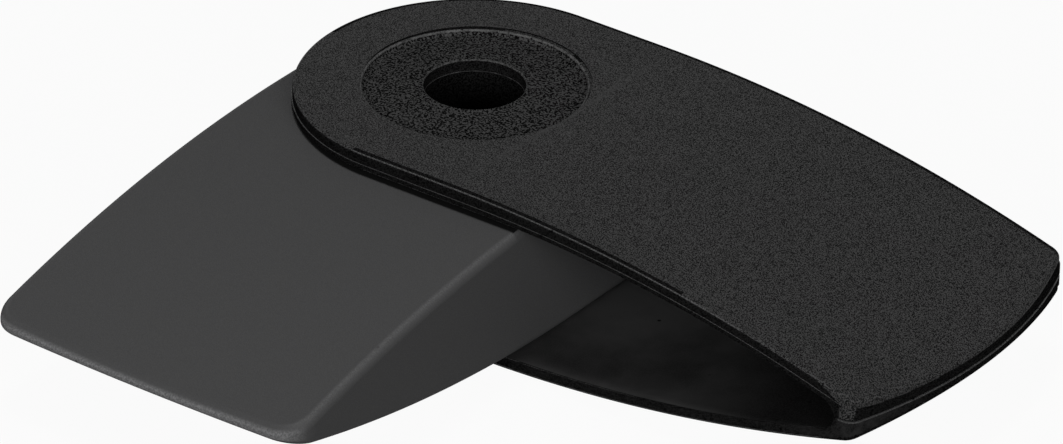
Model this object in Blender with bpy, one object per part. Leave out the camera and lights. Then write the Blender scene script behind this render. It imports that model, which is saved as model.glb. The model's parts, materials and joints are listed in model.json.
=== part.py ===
"""Pocket eraser with a swivel sleeve.

A wedge of dark rubber turns on the hollow hub of two moulded half shells. The shells meet at the tip
and at the hub, and their long sides are open, so the rubber swings out to either side and all the way
round. It is shown swung a quarter turn out of the sleeve.
"""

import math

import bmesh
import bpy
from mathutils import Vector

MM = 0.001

# Sleeve, both shells together, measured from the pivot axis along X
SLEEVE_WIDTH = 25.0 * MM
SLEEVE_REACH = 42.1 * MM
SLEEVE_THICKNESS = 12.6 * MM
SLEEVE_FLAT = 6.85 * MM
SLEEVE_TIP_THICKNESS = 1.42 * MM
SLEEVE_TIP_RADIUS = 36.0 * MM
SLEEVE_CORNER = 1.0 * MM
PLATE = 1.2 * MM
PLATE_EDGE = 0.6 * MM
SEAM_CHAMFER = 0.15 * MM
POCKET_EDGE = 0.2 * MM

# Pocket between the plates
POCKET_FLAT = 9.5 * MM
TIP_WALL = 1.6 * MM
POCKET_END_HEIGHT = 0.5 * MM
POCKET_END_ROUND = 0.9 * MM

# Dished grip ring and hole at the pivot, alike on both shells
RING_DIAMETER = 15.4 * MM
RING_DEPTH = 0.32 * MM
RING_RISE = 0.24 * MM
HOLE_DIAMETER = 7.0 * MM
HOLE_EDGE = 0.12 * MM
HOLE_WALL = 0.95 * MM

# Hub: the lower shell's spigot slides into the upper shell's socket
SPIGOT_BORE = 8.2 * MM
SPIGOT_WALL = 0.8 * MM
SOCKET_WALL = 0.8 * MM
HUB_GAP = 0.3 * MM

# Rubber wedge, measured from the pivot axis along its own X
ERASER_WIDTH = 25.76 * MM
ERASER_REACH = 36.95 * MM
ERASER_FLAT = 5.0 * MM
ERASER_TIP_THICKNESS = 0.74 * MM
ERASER_TIP_RADIUS = 190.0 * MM
ERASER_CORNER = 2.3 * MM
ERASER_EDGE = 0.65 * MM
ERASER_NOSE_SHARE = 0.9
ERASER_CLEARANCE = 0.2 * MM
BORE_CLEARANCE = 0.3 * MM
ERASER_SWING = math.radians(-90.0)

# Facets
ROUND_STEPS = 18
CORNER_STEPS = 5
TIP_STEPS = 7
EDGE_STEPS = 3
POCKET_EDGE_STEPS = 2
END_STEPS = 5
TURN_STEPS = 60
PROFILE_STEPS = 14
CUT_OVERLAP = 1.0 * MM
NEAR = 0.001 * MM
LEVEL = math.radians(0.05)

# Sizes that follow from the ones above
SLEEVE_HALF = SLEEVE_THICKNESS / 2
POCKET_HALF = SLEEVE_HALF - PLATE
POCKET_REACH = SLEEVE_REACH - TIP_WALL
ERASER_HALF = POCKET_HALF - ERASER_CLEARANCE
RING_RADIUS = RING_DIAMETER / 2
HOLE_RADIUS = HOLE_DIAMETER / 2
HOLE_RIM = SLEEVE_HALF - RING_DEPTH + RING_RISE
HUB_CEILING = HOLE_RIM - HOLE_WALL
SPIGOT_RADIUS = SPIGOT_BORE / 2 + SPIGOT_WALL
SOCKET_BORE_RADIUS = SPIGOT_RADIUS + HUB_GAP
SOCKET_RADIUS = SOCKET_BORE_RADIUS + SOCKET_WALL
ERASER_BORE_RADIUS = SOCKET_RADIUS + BORE_CLEARANCE

BLACK_PLASTIC = ("black_plastic", (0.028, 0.028, 0.028), 0.42)
GREY_RUBBER = ("grey_rubber", (0.051, 0.051, 0.052), 0.78)


def clear_scene():
    """Empties the scene of every object."""
    for obj in list(bpy.data.objects):
        bpy.data.objects.remove(obj, do_unlink=True)


def make_material(name, colour, roughness):
    """Returns a plain moulded finish."""
    material = bpy.data.materials.get(name)
    if material:
        return material
    material = bpy.data.materials.new(name)
    material.use_nodes = True
    shader = material.node_tree.nodes["Principled BSDF"]
    shader.inputs["Base Color"].default_value = (*colour, 1.0)
    shader.inputs["Roughness"].default_value = roughness
    shader.inputs["Metallic"].default_value = 0.0
    return material


def arc(centre_x, centre_y, radius, start, end, steps):
    """Returns points of a plan arc, both ends included."""
    turn = (end - start) / steps
    angles = (start + turn * i for i in range(steps + 1))
    return [(centre_x + radius * math.cos(a), centre_y + radius * math.sin(a)) for a in angles]


def plan_outline(width, reach, tip_radius, corner):
    """Returns the closed plan outline: a round end about the pivot, straight sides and a bowed tip."""
    half = width / 2
    tip_centre = reach - tip_radius
    corner_y = half - corner
    corner_x = tip_centre + math.sqrt((tip_radius - corner) ** 2 - corner_y ** 2)
    spread = math.atan2(corner_y, corner_x - tip_centre)
    upper = arc(tip_centre, 0, tip_radius, 0, spread, TIP_STEPS)
    upper += arc(corner_x, corner_y, corner, spread, math.pi / 2, CORNER_STEPS)[1:]
    upper += arc(0, 0, half, math.pi / 2, math.pi, ROUND_STEPS)
    lower = [(x, -y) for x, y in reversed(upper[1:-1])]
    return upper + lower


def crown_radius(flat, reach, drop):
    """Returns the radius of the arc that leaves the level at flat and has fallen by drop at reach."""
    run = reach - flat
    return (run ** 2 + drop ** 2) / (2 * drop)


def crown(x, flat, radius):
    """Returns how far a crowned surface has fallen at x."""
    run = max(x - flat, 0.0)
    return radius - math.sqrt(max(radius ** 2 - run ** 2, 0.0))


def outer_height(x):
    """Returns the height of the sleeve's outer face above its middle plane."""
    radius = crown_radius(SLEEVE_FLAT, SLEEVE_REACH, SLEEVE_HALF - SLEEVE_TIP_THICKNESS / 2)
    return SLEEVE_HALF - crown(x, SLEEVE_FLAT, radius)


def pocket_height(x):
    """Returns the height of the pocket's ceiling above the middle plane."""
    radius = crown_radius(POCKET_FLAT, POCKET_REACH, POCKET_HALF - POCKET_END_HEIGHT / 2)
    return max(POCKET_HALF - crown(x, POCKET_FLAT, radius), 0.0)


def eraser_height(x):
    """Returns the height of the rubber's upper face above its middle plane."""
    radius = crown_radius(ERASER_FLAT, ERASER_REACH, ERASER_HALF - ERASER_TIP_THICKNESS / 2)
    return ERASER_HALF - crown(x, ERASER_FLAT, radius)


def shape_shell(point):
    """Returns the moulded height of a point of the level shell blank."""
    ceiling = pocket_height(point.x)
    if point.z <= POCKET_HALF:
        return point.z / POCKET_HALF * ceiling
    return ceiling + (point.z - POCKET_HALF) / PLATE * (outer_height(point.x) - ceiling)


def shape_eraser(point):
    """Returns the moulded height of a point of the level rubber blank, its edge kept round at the thin tip."""
    top = eraser_height(point.x)
    depth = ERASER_HALF - abs(point.z)
    return math.copysign(top - depth * min(1.0, ERASER_NOSE_SHARE * top / ERASER_EDGE), point.z)


def blank(outline, low, high):
    """Returns a mesh of the outline raised from low to high."""
    mesh = bmesh.new()
    floor = mesh.faces.new([mesh.verts.new((x, y, low)) for x, y in outline])
    raised = bmesh.ops.extrude_face_region(mesh, geom=[floor])["geom"]
    tops = [v for v in raised if isinstance(v, bmesh.types.BMVert)]
    bmesh.ops.translate(mesh, verts=tops, vec=(0, 0, high - low))
    bmesh.ops.recalc_face_normals(mesh, faces=mesh.faces)
    return mesh


def round_edges(mesh, edges, width, steps):
    """Rounds the given edges."""
    bmesh.ops.bevel(
        mesh,
        geom=edges,
        offset=width,
        segments=steps,
        profile=0.5,
        affect="EDGES",
        clamp_overlap=True,
    )


def edges_at(mesh, level):
    """Returns the edges that lie at one height and are corners there."""
    flat = [e for e in mesh.edges if all(abs(v.co.z - level) < NEAR for v in e.verts)]
    return [e for e in flat if e.calc_face_angle(0.0) > math.radians(45)]


def slice_across(mesh, start, reach):
    """Cuts a blank across its length where it will be crowned."""
    for i in range(PROFILE_STEPS):
        place = start + (reach - start) * i / PROFILE_STEPS
        every = mesh.verts[:] + mesh.edges[:] + mesh.faces[:]
        bmesh.ops.bisect_plane(mesh, geom=every, plane_co=(place, 0, 0), plane_no=(1, 0, 0))


def mould(mesh, height):
    """Moves every point of a level blank to its moulded height."""
    for vert in mesh.verts:
        vert.co.z = height(vert.co)


def turned(profile):
    """Returns a mesh of the closed radius and height profile turned about the pivot axis."""
    mesh = bmesh.new()
    points = [mesh.verts.new((radius, 0, height)) for radius, height in profile]
    edges = [mesh.edges.new(pair) for pair in zip(points, points[1:])]
    bmesh.ops.spin(
        mesh,
        geom=points + edges,
        cent=(0, 0, 0),
        axis=(0, 0, 1),
        angle=2 * math.pi,
        steps=TURN_STEPS,
        use_merge=True,
    )
    bmesh.ops.remove_doubles(mesh, verts=mesh.verts, dist=NEAR)
    bmesh.ops.dissolve_limit(mesh, angle_limit=LEVEL, verts=mesh.verts, edges=mesh.edges)
    bmesh.ops.recalc_face_normals(mesh, faces=mesh.faces)
    return mesh


def add_object(name, mesh, finish=None):
    """Returns a new object that holds the mesh, smooth where its faces nearly run on."""
    data = bpy.data.meshes.new(name)
    mesh.to_mesh(data)
    mesh.free()
    obj = bpy.data.objects.new(name, data)
    bpy.context.scene.collection.objects.link(obj)
    if finish:
        data.materials.append(make_material(*finish))
        data.shade_smooth()
        data.set_sharp_from_angle(angle=math.radians(35))
    return obj


def add_helper(name, mesh, parent):
    """Returns a cutter or filler that only shapes its parent."""
    helper = add_object(name, mesh)
    helper.parent = parent
    helper.hide_render = True
    helper.display_type = "WIRE"
    return helper


def add_boolean(obj, helper, operation):
    """Joins a helper to an object, or cuts it out."""
    modifier = obj.modifiers.new(helper.name, "BOOLEAN")
    modifier.object = helper
    modifier.operation = operation
    modifier.solver = "EXACT"


def applied(obj):
    """Returns the object's mesh with its modifiers applied, and removes it with its helpers."""
    bpy.context.view_layer.update()
    evaluated = obj.evaluated_get(bpy.context.evaluated_depsgraph_get())
    mesh = bmesh.new()
    mesh.from_mesh(evaluated.data)
    for used in [*obj.children, obj]:
        bpy.data.objects.remove(used, do_unlink=True)
    return mesh


def pocket_cutter():
    """Returns the level pocket of one shell: a disc about the pivot, half round where it ends at the tip."""
    quarter = arc(0, 0, 1, 0, math.pi / 2, END_STEPS)
    end = [(POCKET_REACH - POCKET_END_ROUND * (1 - x), POCKET_HALF * y) for x, y in quarter]
    return turned([(0, -CUT_OVERLAP), (POCKET_REACH, -CUT_OVERLAP), *end, (0, POCKET_HALF)])


def hub_cutter(bore_radius):
    """Returns what is cut at the pivot: the dished ring, the hole with its soft rim and the hub's bore."""
    rim = arc(HOLE_RADIUS + HOLE_EDGE, HOLE_RIM - HOLE_EDGE, HOLE_EDGE, math.pi / 2, math.pi, EDGE_STEPS)
    above = SLEEVE_HALF + CUT_OVERLAP
    below = -POCKET_HALF - CUT_OVERLAP
    return turned(
        [
            (0, above),
            (RING_RADIUS, above),
            (RING_RADIUS, SLEEVE_HALF - RING_DEPTH),
            *rim,
            (HOLE_RADIUS, HUB_CEILING),
            (bore_radius, HUB_CEILING),
            (bore_radius, below),
            (0, below),
        ]
    )


def collar(radius, end):
    """Returns the solid barrel that the hub's bore is cut from."""
    root = POCKET_HALF + PLATE / 2
    return turned([(0, root), (radius, root), (radius, end), (0, end)])


def make_shell(name, collar_radius, collar_end, bore_radius):
    """Returns one half shell, its outer face up: a plate with its tip wall and its part of the hub."""
    outline = plan_outline(SLEEVE_WIDTH, SLEEVE_REACH, SLEEVE_TIP_RADIUS, SLEEVE_CORNER)
    level = blank(outline, 0, SLEEVE_HALF)
    round_edges(level, edges_at(level, SLEEVE_HALF), PLATE_EDGE, EDGE_STEPS)
    level_shell = add_object(name + "_blank", level)
    add_boolean(level_shell, add_helper(name + "_pocket", pocket_cutter(), level_shell), "DIFFERENCE")
    mesh = applied(level_shell)
    round_edges(mesh, edges_at(mesh, POCKET_HALF), POCKET_EDGE, POCKET_EDGE_STEPS)
    slice_across(mesh, SLEEVE_FLAT, SLEEVE_REACH)
    mould(mesh, shape_shell)
    seam = [e for e in edges_at(mesh, 0) if all(v.co.to_2d().length > POCKET_REACH + NEAR for v in e.verts)]
    round_edges(mesh, seam, SEAM_CHAMFER, 1)
    shell = add_object(name, mesh, BLACK_PLASTIC)
    add_boolean(shell, add_helper(name + "_collar", collar(collar_radius, collar_end), shell), "UNION")
    add_boolean(shell, add_helper(name + "_hub_cut", hub_cutter(bore_radius), shell), "DIFFERENCE")
    return shell


def make_eraser():
    """Returns the rubber wedge, level, with the bore that turns on the hub."""
    outline = plan_outline(ERASER_WIDTH, ERASER_REACH, ERASER_TIP_RADIUS, ERASER_CORNER)
    mesh = blank(outline, -ERASER_HALF, ERASER_HALF)
    round_edges(mesh, edges_at(mesh, ERASER_HALF), ERASER_EDGE, EDGE_STEPS)
    round_edges(mesh, edges_at(mesh, -ERASER_HALF), ERASER_EDGE, EDGE_STEPS)
    slice_across(mesh, ERASER_FLAT, ERASER_REACH)
    mould(mesh, shape_eraser)
    eraser = add_object("eraser", mesh, GREY_RUBBER)
    over = ERASER_HALF + CUT_OVERLAP
    bore = turned([(0, over), (ERASER_BORE_RADIUS, over), (ERASER_BORE_RADIUS, -over), (0, -over)])
    add_boolean(eraser, add_helper("eraser_bore", bore, eraser), "DIFFERENCE")
    return eraser


def pivot_place():
    """Returns the pivot's place when the object's box is centred over the origin and stands on it."""
    side = max(SLEEVE_WIDTH, ERASER_WIDTH) / 2
    return Vector(((side - SLEEVE_REACH) / 2, (ERASER_REACH - side) / 2, SLEEVE_HALF))


def main():
    clear_scene()
    pivot = bpy.data.objects.new("pivot", None)
    pivot.location = pivot_place()
    bpy.context.scene.collection.objects.link(pivot)
    socket_end = HUB_GAP - POCKET_HALF
    spigot_end = HUB_GAP - HUB_CEILING
    upper = make_shell("upper_shell", SOCKET_RADIUS, socket_end, SOCKET_BORE_RADIUS)
    lower = make_shell("lower_shell", SPIGOT_RADIUS, spigot_end, SPIGOT_BORE / 2)
    lower.rotation_euler.x = math.pi
    eraser = make_eraser()
    eraser.rotation_euler.z = ERASER_SWING
    for piece in (upper, lower, eraser):
        piece.parent = pivot


main()
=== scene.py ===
"""Dresses the pocket eraser: its sleeve, its rubber, their finishes, the studio and the camera."""

import json
import logging
import math
from collections.abc import Callable, Iterator
from contextlib import contextmanager
from dataclasses import dataclass, field, replace
from enum import Enum

import bmesh
import bpy
from mathutils import Matrix, Vector


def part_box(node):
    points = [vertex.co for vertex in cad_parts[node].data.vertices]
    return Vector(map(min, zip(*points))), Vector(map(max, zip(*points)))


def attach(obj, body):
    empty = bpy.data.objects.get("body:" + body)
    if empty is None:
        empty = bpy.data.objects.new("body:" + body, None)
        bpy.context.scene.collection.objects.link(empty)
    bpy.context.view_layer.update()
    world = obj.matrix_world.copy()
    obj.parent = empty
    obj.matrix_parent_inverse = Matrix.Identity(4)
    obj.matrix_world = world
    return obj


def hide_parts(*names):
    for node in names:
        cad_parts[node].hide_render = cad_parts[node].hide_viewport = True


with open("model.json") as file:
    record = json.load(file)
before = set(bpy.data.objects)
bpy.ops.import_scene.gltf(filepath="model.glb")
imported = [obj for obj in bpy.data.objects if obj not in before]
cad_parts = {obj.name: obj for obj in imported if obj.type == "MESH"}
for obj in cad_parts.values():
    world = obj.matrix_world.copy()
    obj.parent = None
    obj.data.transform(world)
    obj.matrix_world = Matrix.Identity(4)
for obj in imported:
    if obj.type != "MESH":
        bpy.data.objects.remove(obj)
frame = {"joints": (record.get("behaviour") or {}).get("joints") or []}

LOG = logging.getLogger("pocket_eraser")
MM = 0.001
MICRON = 0.000001
NEAR = 0.001 * MM
SMOOTH_ANGLE = math.radians(38)
SHARP_ANGLE = math.radians(45)
LEVEL_ANGLE = math.radians(0.02)
QUARTER = math.pi / 2
ROUND_PROFILE = 0.5
LARGEST_FACE_ONLY = 100
# The mesh attribute that carries each point's share of painted light and shade.
PAINTED_LIGHT_ATTRIBUTE = "edge"
GRAIN_TURN = (0.5, 0.7, 0.3)

Colour = tuple[float, float, float, float]
Place = tuple[float, float, float]
Points = list[tuple[float, float]]

WHITE: Colour = (1.0, 1.0, 1.0, 1.0)


class Pick(Enum):
    """What an edit-mode selection is made of."""

    EDGES = "EDGE"
    FACES = "FACE"


class Cut(Enum):
    """How a helper shapes a piece."""

    AWAY = "DIFFERENCE"
    ON = "UNION"


class Half(Enum):
    """The two mouldings of the sleeve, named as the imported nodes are."""

    UPPER = "upper_shell"
    LOWER = "lower_shell"


class Surface(Enum):
    """The copies of the black plastic on a sleeve half, in the order of its material slots; their lighter
    and darker copies paint the sleeve's light and shade.
    """

    TOP = 0
    RING = 1
    # Darker copy: painted shade and painted dark lines.
    SIDE = 2
    INSIDE = 3
    # Lighter copy: painted highlight lines.
    RUBBED = 4


def arc(centre: tuple[float, float], radius: float, start: float, end: float, steps: int) -> Points:
    """Returns the points of an arc, both ends included.

    Args:
        centre: Centre of the arc.
        radius: Its radius.
        start: Angle of the first point, in radians.
        end: Angle of the last point.
        steps: Number of chords.

    Returns:
        The points in order.
    """
    angles = [start + (end - start) * i / steps for i in range(steps + 1)]
    return [(centre[0] + radius * math.cos(a), centre[1] + radius * math.sin(a)) for a in angles]


def ramp(value: float, start: float, end: float) -> float:
    """Returns how far a value lies on the way from start to end, from 0 to 1."""
    return min(max((value - start) / (end - start), 0.0), 1.0)


class Bench:
    """The modelling bench: the hand tools that every piece is worked with."""

    @staticmethod
    def take(obj: bpy.types.Object) -> None:
        """Makes one object the only selected and the active one.

        Args:
            obj: The object.
        """
        bpy.ops.object.select_all(action="DESELECT")
        obj.select_set(True)
        bpy.context.view_layer.objects.active = obj

    @staticmethod
    @contextmanager
    def edit(obj: bpy.types.Object) -> Iterator[None]:
        """Opens an object in edit mode with nothing selected, and closes it again.

        Args:
            obj: The mesh object.

        Returns:
            A context for edit-mode work.
        """
        Bench.take(obj)
        bpy.ops.object.mode_set(mode="EDIT")
        bpy.ops.mesh.select_all(action="DESELECT")
        yield
        bpy.ops.object.mode_set(mode="OBJECT")

    @staticmethod
    def pick(obj: bpy.types.Object, what: Pick, test: Callable[[object], bool]) -> None:
        """Selects the elements of the edited mesh that pass a test, and nothing else.

        Args:
            obj: The object in edit mode.
            what: The kind of element.
            test: Says whether an element is wanted.
        """
        bpy.ops.mesh.select_mode(type=what.value)
        bpy.ops.mesh.select_all(action="DESELECT")
        mesh = bmesh.from_edit_mesh(obj.data)
        for element in mesh.edges if what is Pick.EDGES else mesh.faces:
            if test(element):
                element.select_set(True)
        mesh.select_flush_mode()
        bmesh.update_edit_mesh(obj.data)

    @staticmethod
    def face_outward() -> None:
        """Turns every face of the edited mesh outward."""
        bpy.ops.mesh.select_all(action="SELECT")
        bpy.ops.mesh.normals_make_consistent(inside=False)

    @staticmethod
    def raise_plan(height: float) -> None:
        """Raises the edited plan to a slab, and leaves the top selected.

        Args:
            height: Height of the slab.
        """
        bpy.ops.mesh.select_mode(type="FACE")
        bpy.ops.mesh.select_all(action="SELECT")
        bpy.ops.mesh.extrude_region_move(TRANSFORM_OT_translate={"value": (0, 0, height)})

    @staticmethod
    def sharp(edge: bmesh.types.BMEdge) -> bool:
        """Returns whether two faces meet sharply at an edge."""
        return edge.calc_face_angle(0.0) > SHARP_ANGLE

    @staticmethod
    def ring(name: str, places: list[Place], filled: bool) -> bpy.types.Object:
        """Adds a circle and sets its points out on an outline or profile.

        Args:
            name: Name of the object.
            places: Where the points go, in order round the ring.
            filled: Whether the ring holds a face.

        Returns:
            The new object.
        """
        bpy.ops.object.select_all(action="DESELECT")
        bpy.ops.mesh.primitive_circle_add(
            vertices=len(places), radius=MM, fill_type="NGON" if filled else "NOTHING"
        )
        obj = bpy.context.object
        obj.name = name
        for vert, place in zip(obj.data.vertices, places):
            vert.co = place
        return obj

    @staticmethod
    def turned(name: str, profile: Points, steps: int) -> bpy.types.Object:
        """Spins a closed radius and height profile about the pivot axis.

        Args:
            name: Name of the object.
            profile: Radius and height of each point, in order.
            steps: Number of steps in a full turn.

        Returns:
            The turned solid.
        """
        obj = Bench.ring(name, [(radius, 0.0, height) for radius, height in profile], filled=False)
        with Bench.edit(obj):
            bpy.ops.mesh.select_all(action="SELECT")
            bpy.ops.mesh.spin(steps=steps, angle=2 * math.pi, center=(0, 0, 0), axis=(0, 0, 1))
            bpy.ops.mesh.select_all(action="SELECT")
            bpy.ops.mesh.remove_doubles(threshold=NEAR)
            bpy.ops.mesh.select_all(action="SELECT")
            bpy.ops.mesh.dissolve_limited(angle_limit=LEVEL_ANGLE)
            Bench.face_outward()
        return obj

    @staticmethod
    def disc(name: str, radius: float, high: float, low: float, steps: int) -> bpy.types.Object:
        """Returns a round disc about the pivot axis, turned between two heights."""
        return Bench.turned(name, [(0.0, high), (radius, high), (radius, low), (0.0, low)], steps)

    @staticmethod
    def bevel(width: float, steps: int, clamped: bool = True) -> None:
        """Rounds the selected edges.

        Args:
            width: How far the rounding reaches from the edge.
            steps: Number of facets.
            clamped: Whether it stops where roundings would meet.
        """
        bpy.ops.mesh.bevel(
            offset=width,
            segments=steps,
            profile=ROUND_PROFILE,
            affect="EDGES",
            clamp_overlap=clamped,
        )

    @staticmethod
    def slice_across(obj: bpy.types.Object, places: list[float]) -> None:
        """Cuts a blank across its length, so that it can follow a curve.

        Args:
            obj: The blank.
            places: Distances from the pivot at which it is cut.
        """
        with Bench.edit(obj):
            for place in places:
                bpy.ops.mesh.select_all(action="SELECT")
                bpy.ops.mesh.bisect(plane_co=(place, 0, 0), plane_no=(1, 0, 0), threshold=NEAR)

    @staticmethod
    def mould(obj: bpy.types.Object, height: Callable[[float, float], float]) -> None:
        """Moves every point of a level blank to its moulded height.

        Args:
            obj: The blank.
            height: Gives the moulded height from the point's x and level height.
        """
        for vert in obj.data.vertices:
            vert.co.z = height(vert.co.x, vert.co.z)
        obj.data.update()

    @staticmethod
    def shape(obj: bpy.types.Object, helper: bpy.types.Object, cut: Cut) -> None:
        """Cuts a helper away from an object, or joins it on, and removes the helper.

        Args:
            obj: The piece.
            helper: The cutter or filler.
            cut: How it acts.
        """
        modifier = obj.modifiers.new(helper.name, "BOOLEAN")
        modifier.object = helper
        modifier.operation = cut.value
        modifier.solver = "EXACT"
        Bench.take(obj)
        bpy.ops.object.modifier_apply(modifier=modifier.name)
        bpy.data.objects.remove(helper, do_unlink=True)

    @staticmethod
    def smooth(obj: bpy.types.Object) -> None:
        """Cleans a finished mesh and shades its roundings smoothly without bending the flats.

        Args:
            obj: The piece.
        """
        with Bench.edit(obj):
            bpy.ops.mesh.select_all(action="SELECT")
            bpy.ops.mesh.remove_doubles(threshold=NEAR)
            Bench.face_outward()
        Bench.take(obj)
        bpy.ops.object.shade_smooth_by_angle(angle=SMOOTH_ANGLE)
        modifier = obj.modifiers.new("even_normals", "WEIGHTED_NORMAL")
        modifier.keep_sharp = True
        modifier.weight = LARGEST_FACE_ONLY
        bpy.ops.object.modifier_apply(modifier=modifier.name)

    @staticmethod
    def place(obj: bpy.types.Object, spot: Matrix) -> None:
        """Moves a finished piece to its place, which goes into its mesh.

        Args:
            obj: The piece.
            spot: Its place and turn.
        """
        obj.matrix_world = spot
        Bench.take(obj)
        bpy.ops.object.transform_apply(location=True, rotation=True, scale=True)

    @staticmethod
    def write_painted_light(obj: bpy.types.Object, share: Callable[[Vector], float]) -> None:
        """Writes each point's share of painted light and shade into an attribute of the mesh.

        Args:
            obj: The piece.
            share: Gives 0 where nothing is painted, and up to 1.
        """
        layer = obj.data.attributes.new(PAINTED_LIGHT_ATTRIBUTE, "FLOAT", "POINT")
        layer.data.foreach_set("value", [share(vert.co) for vert in obj.data.vertices])


@dataclass(frozen=True)
class Crown:
    """A face that is level near the pivot and then falls in an arc towards the tip."""

    level: float
    flat: float
    reach: float
    end: float

    def height(self, x: float) -> float:
        """Returns the face's height at a distance from the pivot.

        Args:
            x: Distance along the length.

        Returns:
            The height above the middle plane.
        """
        drop = self.level - self.end
        radius = ((self.reach - self.flat) ** 2 + drop ** 2) / (2 * drop)
        run = max(x - self.flat, 0.0)
        return max(self.level - radius + math.sqrt(max(radius ** 2 - run ** 2, 0.0)), 0.0)

    def places(self, steps: int) -> list[float]:
        """Returns the places across which a blank is cut to follow the arc."""
        return [self.flat + (self.reach - self.flat) * i / steps for i in range(steps)]


@dataclass(frozen=True)
class Outline:
    """A plan with a round end about the pivot, straight sides, a bowed tip and rounded corners."""

    width: float
    reach: float
    tip_radius: float
    corner: float
    round_steps: int = 90
    corner_steps: int = 14
    tip_steps: int = 24

    def places(self, level: float) -> list[Place]:
        """Returns the outline's points at one height.

        Args:
            level: The height.

        Returns:
            The points in order.
        """
        half = self.width / 2
        tip_centre = self.reach - self.tip_radius
        corner_y = half - self.corner
        corner_x = tip_centre + math.sqrt((self.tip_radius - self.corner) ** 2 - corner_y ** 2)
        spread = math.atan2(corner_y, corner_x - tip_centre)
        upper = arc((tip_centre, 0.0), self.tip_radius, 0.0, spread, self.tip_steps)
        upper += arc((corner_x, corner_y), self.corner, spread, QUARTER, self.corner_steps)[1:]
        upper += arc((0.0, 0.0), half, QUARTER, math.pi, self.round_steps)
        lower = [(x, -y) for x, y in reversed(upper[1:-1])]
        return [(x, y, level) for x, y in upper + lower]


@dataclass(frozen=True)
class FrameSizes:
    """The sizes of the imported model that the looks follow, measured about the pivot."""

    pivot: Vector
    sleeve_width: float
    sleeve_reach: float
    sleeve_half: float
    rubber_width: float
    rubber_reach: float
    rubber_half: float

    @classmethod
    def measured(cls) -> "FrameSizes":
        """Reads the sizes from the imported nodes.

        Returns:
            The sizes, in metres.
        """
        pivot = Vector(frame["joints"][0]["pos_m"])
        shell_low, shell_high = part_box(Half.UPPER.value)
        rubber_low, rubber_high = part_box("eraser")
        return cls(
            pivot=pivot,
            sleeve_width=shell_high.y - shell_low.y,
            sleeve_reach=shell_high.x - pivot.x,
            sleeve_half=shell_high.z - pivot.z,
            rubber_width=rubber_high.x - rubber_low.x,
            rubber_reach=pivot.y - rubber_low.y,
            rubber_half=(rubber_high.z - rubber_low.z) / 2,
        )


class NodeSheet:
    """Adds and links the nodes of one material or node group."""

    MIX_INPUTS = (0, 6, 7)
    MIX_RESULT = 2

    def __init__(self, tree: bpy.types.NodeTree) -> None:
        """Starts with an empty sheet."""
        self.tree = tree
        tree.nodes.clear()

    def add(
        self, kind: str, settings: dict[str, object] | None = None, **inputs: object
    ) -> bpy.types.Node:
        """Adds a node.

        Args:
            kind: The node's type.
            settings: Properties of the node itself.
            inputs: Values or output sockets for its inputs, with _ for a space in a name.

        Returns:
            The node.
        """
        node = self.tree.nodes.new(kind)
        for name, value in (settings or {}).items():
            setattr(node, name, value)
        for name, value in inputs.items():
            self.feed(node.inputs[name.replace("_", " ")], value)
        return node

    def feed(self, socket: bpy.types.NodeSocket, value: object) -> None:
        """Sets an input, or links it to an output.

        Args:
            socket: The input.
            value: A value, or the output socket that feeds it.
        """
        if isinstance(value, bpy.types.NodeSocket):
            self.tree.links.new(value, socket)
        else:
            socket.default_value = value

    def math(self, operation: str, first: object, second: object = 0.0) -> bpy.types.NodeSocket:
        """Returns the result of one sum on two values or sockets.

        Args:
            operation: Name of the operation.
            first: First operand.
            second: Second operand.

        Returns:
            The result's socket.
        """
        node = self.tree.nodes.new("ShaderNodeMath")
        node.operation = operation
        self.feed(node.inputs[0], first)
        self.feed(node.inputs[1], second)
        return node.outputs[0]

    def span(
        self, value: object, low: float, high: float, to_low: float = 0.0, to_high: float = 1.0
    ) -> bpy.types.NodeSocket:
        """Returns a value moved smoothly from one range to another.

        Args:
            value: The value or socket.
            low: Start of its range.
            high: End of its range.
            to_low: Start of the new range.
            to_high: End of the new range.

        Returns:
            The result's socket.
        """
        node = self.tree.nodes.new("ShaderNodeMapRange")
        node.interpolation_type = "SMOOTHSTEP"
        for socket, given in zip(node.inputs, (value, low, high, to_low, to_high)):
            self.feed(socket, given)
        return node.outputs[0]

    def mix(self, share: object, first: object, second: object) -> bpy.types.NodeSocket:
        """Returns a mix of two colours.

        Args:
            share: Share of the second colour.
            first: First colour or socket.
            second: Second colour or socket.

        Returns:
            The mixed colour's socket.
        """
        node = self.tree.nodes.new("ShaderNodeMix")
        node.data_type = "RGBA"
        for index, value in zip(self.MIX_INPUTS, (share, first, second)):
            self.feed(node.inputs[index], value)
        return node.outputs[self.MIX_RESULT]

    def effect(self, tree: bpy.types.NodeTree, **inputs: object) -> bpy.types.NodeOutputs:
        """Adds a shared effect.

        Args:
            tree: Its node group.
            inputs: Values or output sockets for its inputs.

        Returns:
            Its outputs.
        """
        return self.add("ShaderNodeGroup", {"node_tree": tree}, **inputs).outputs


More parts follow.
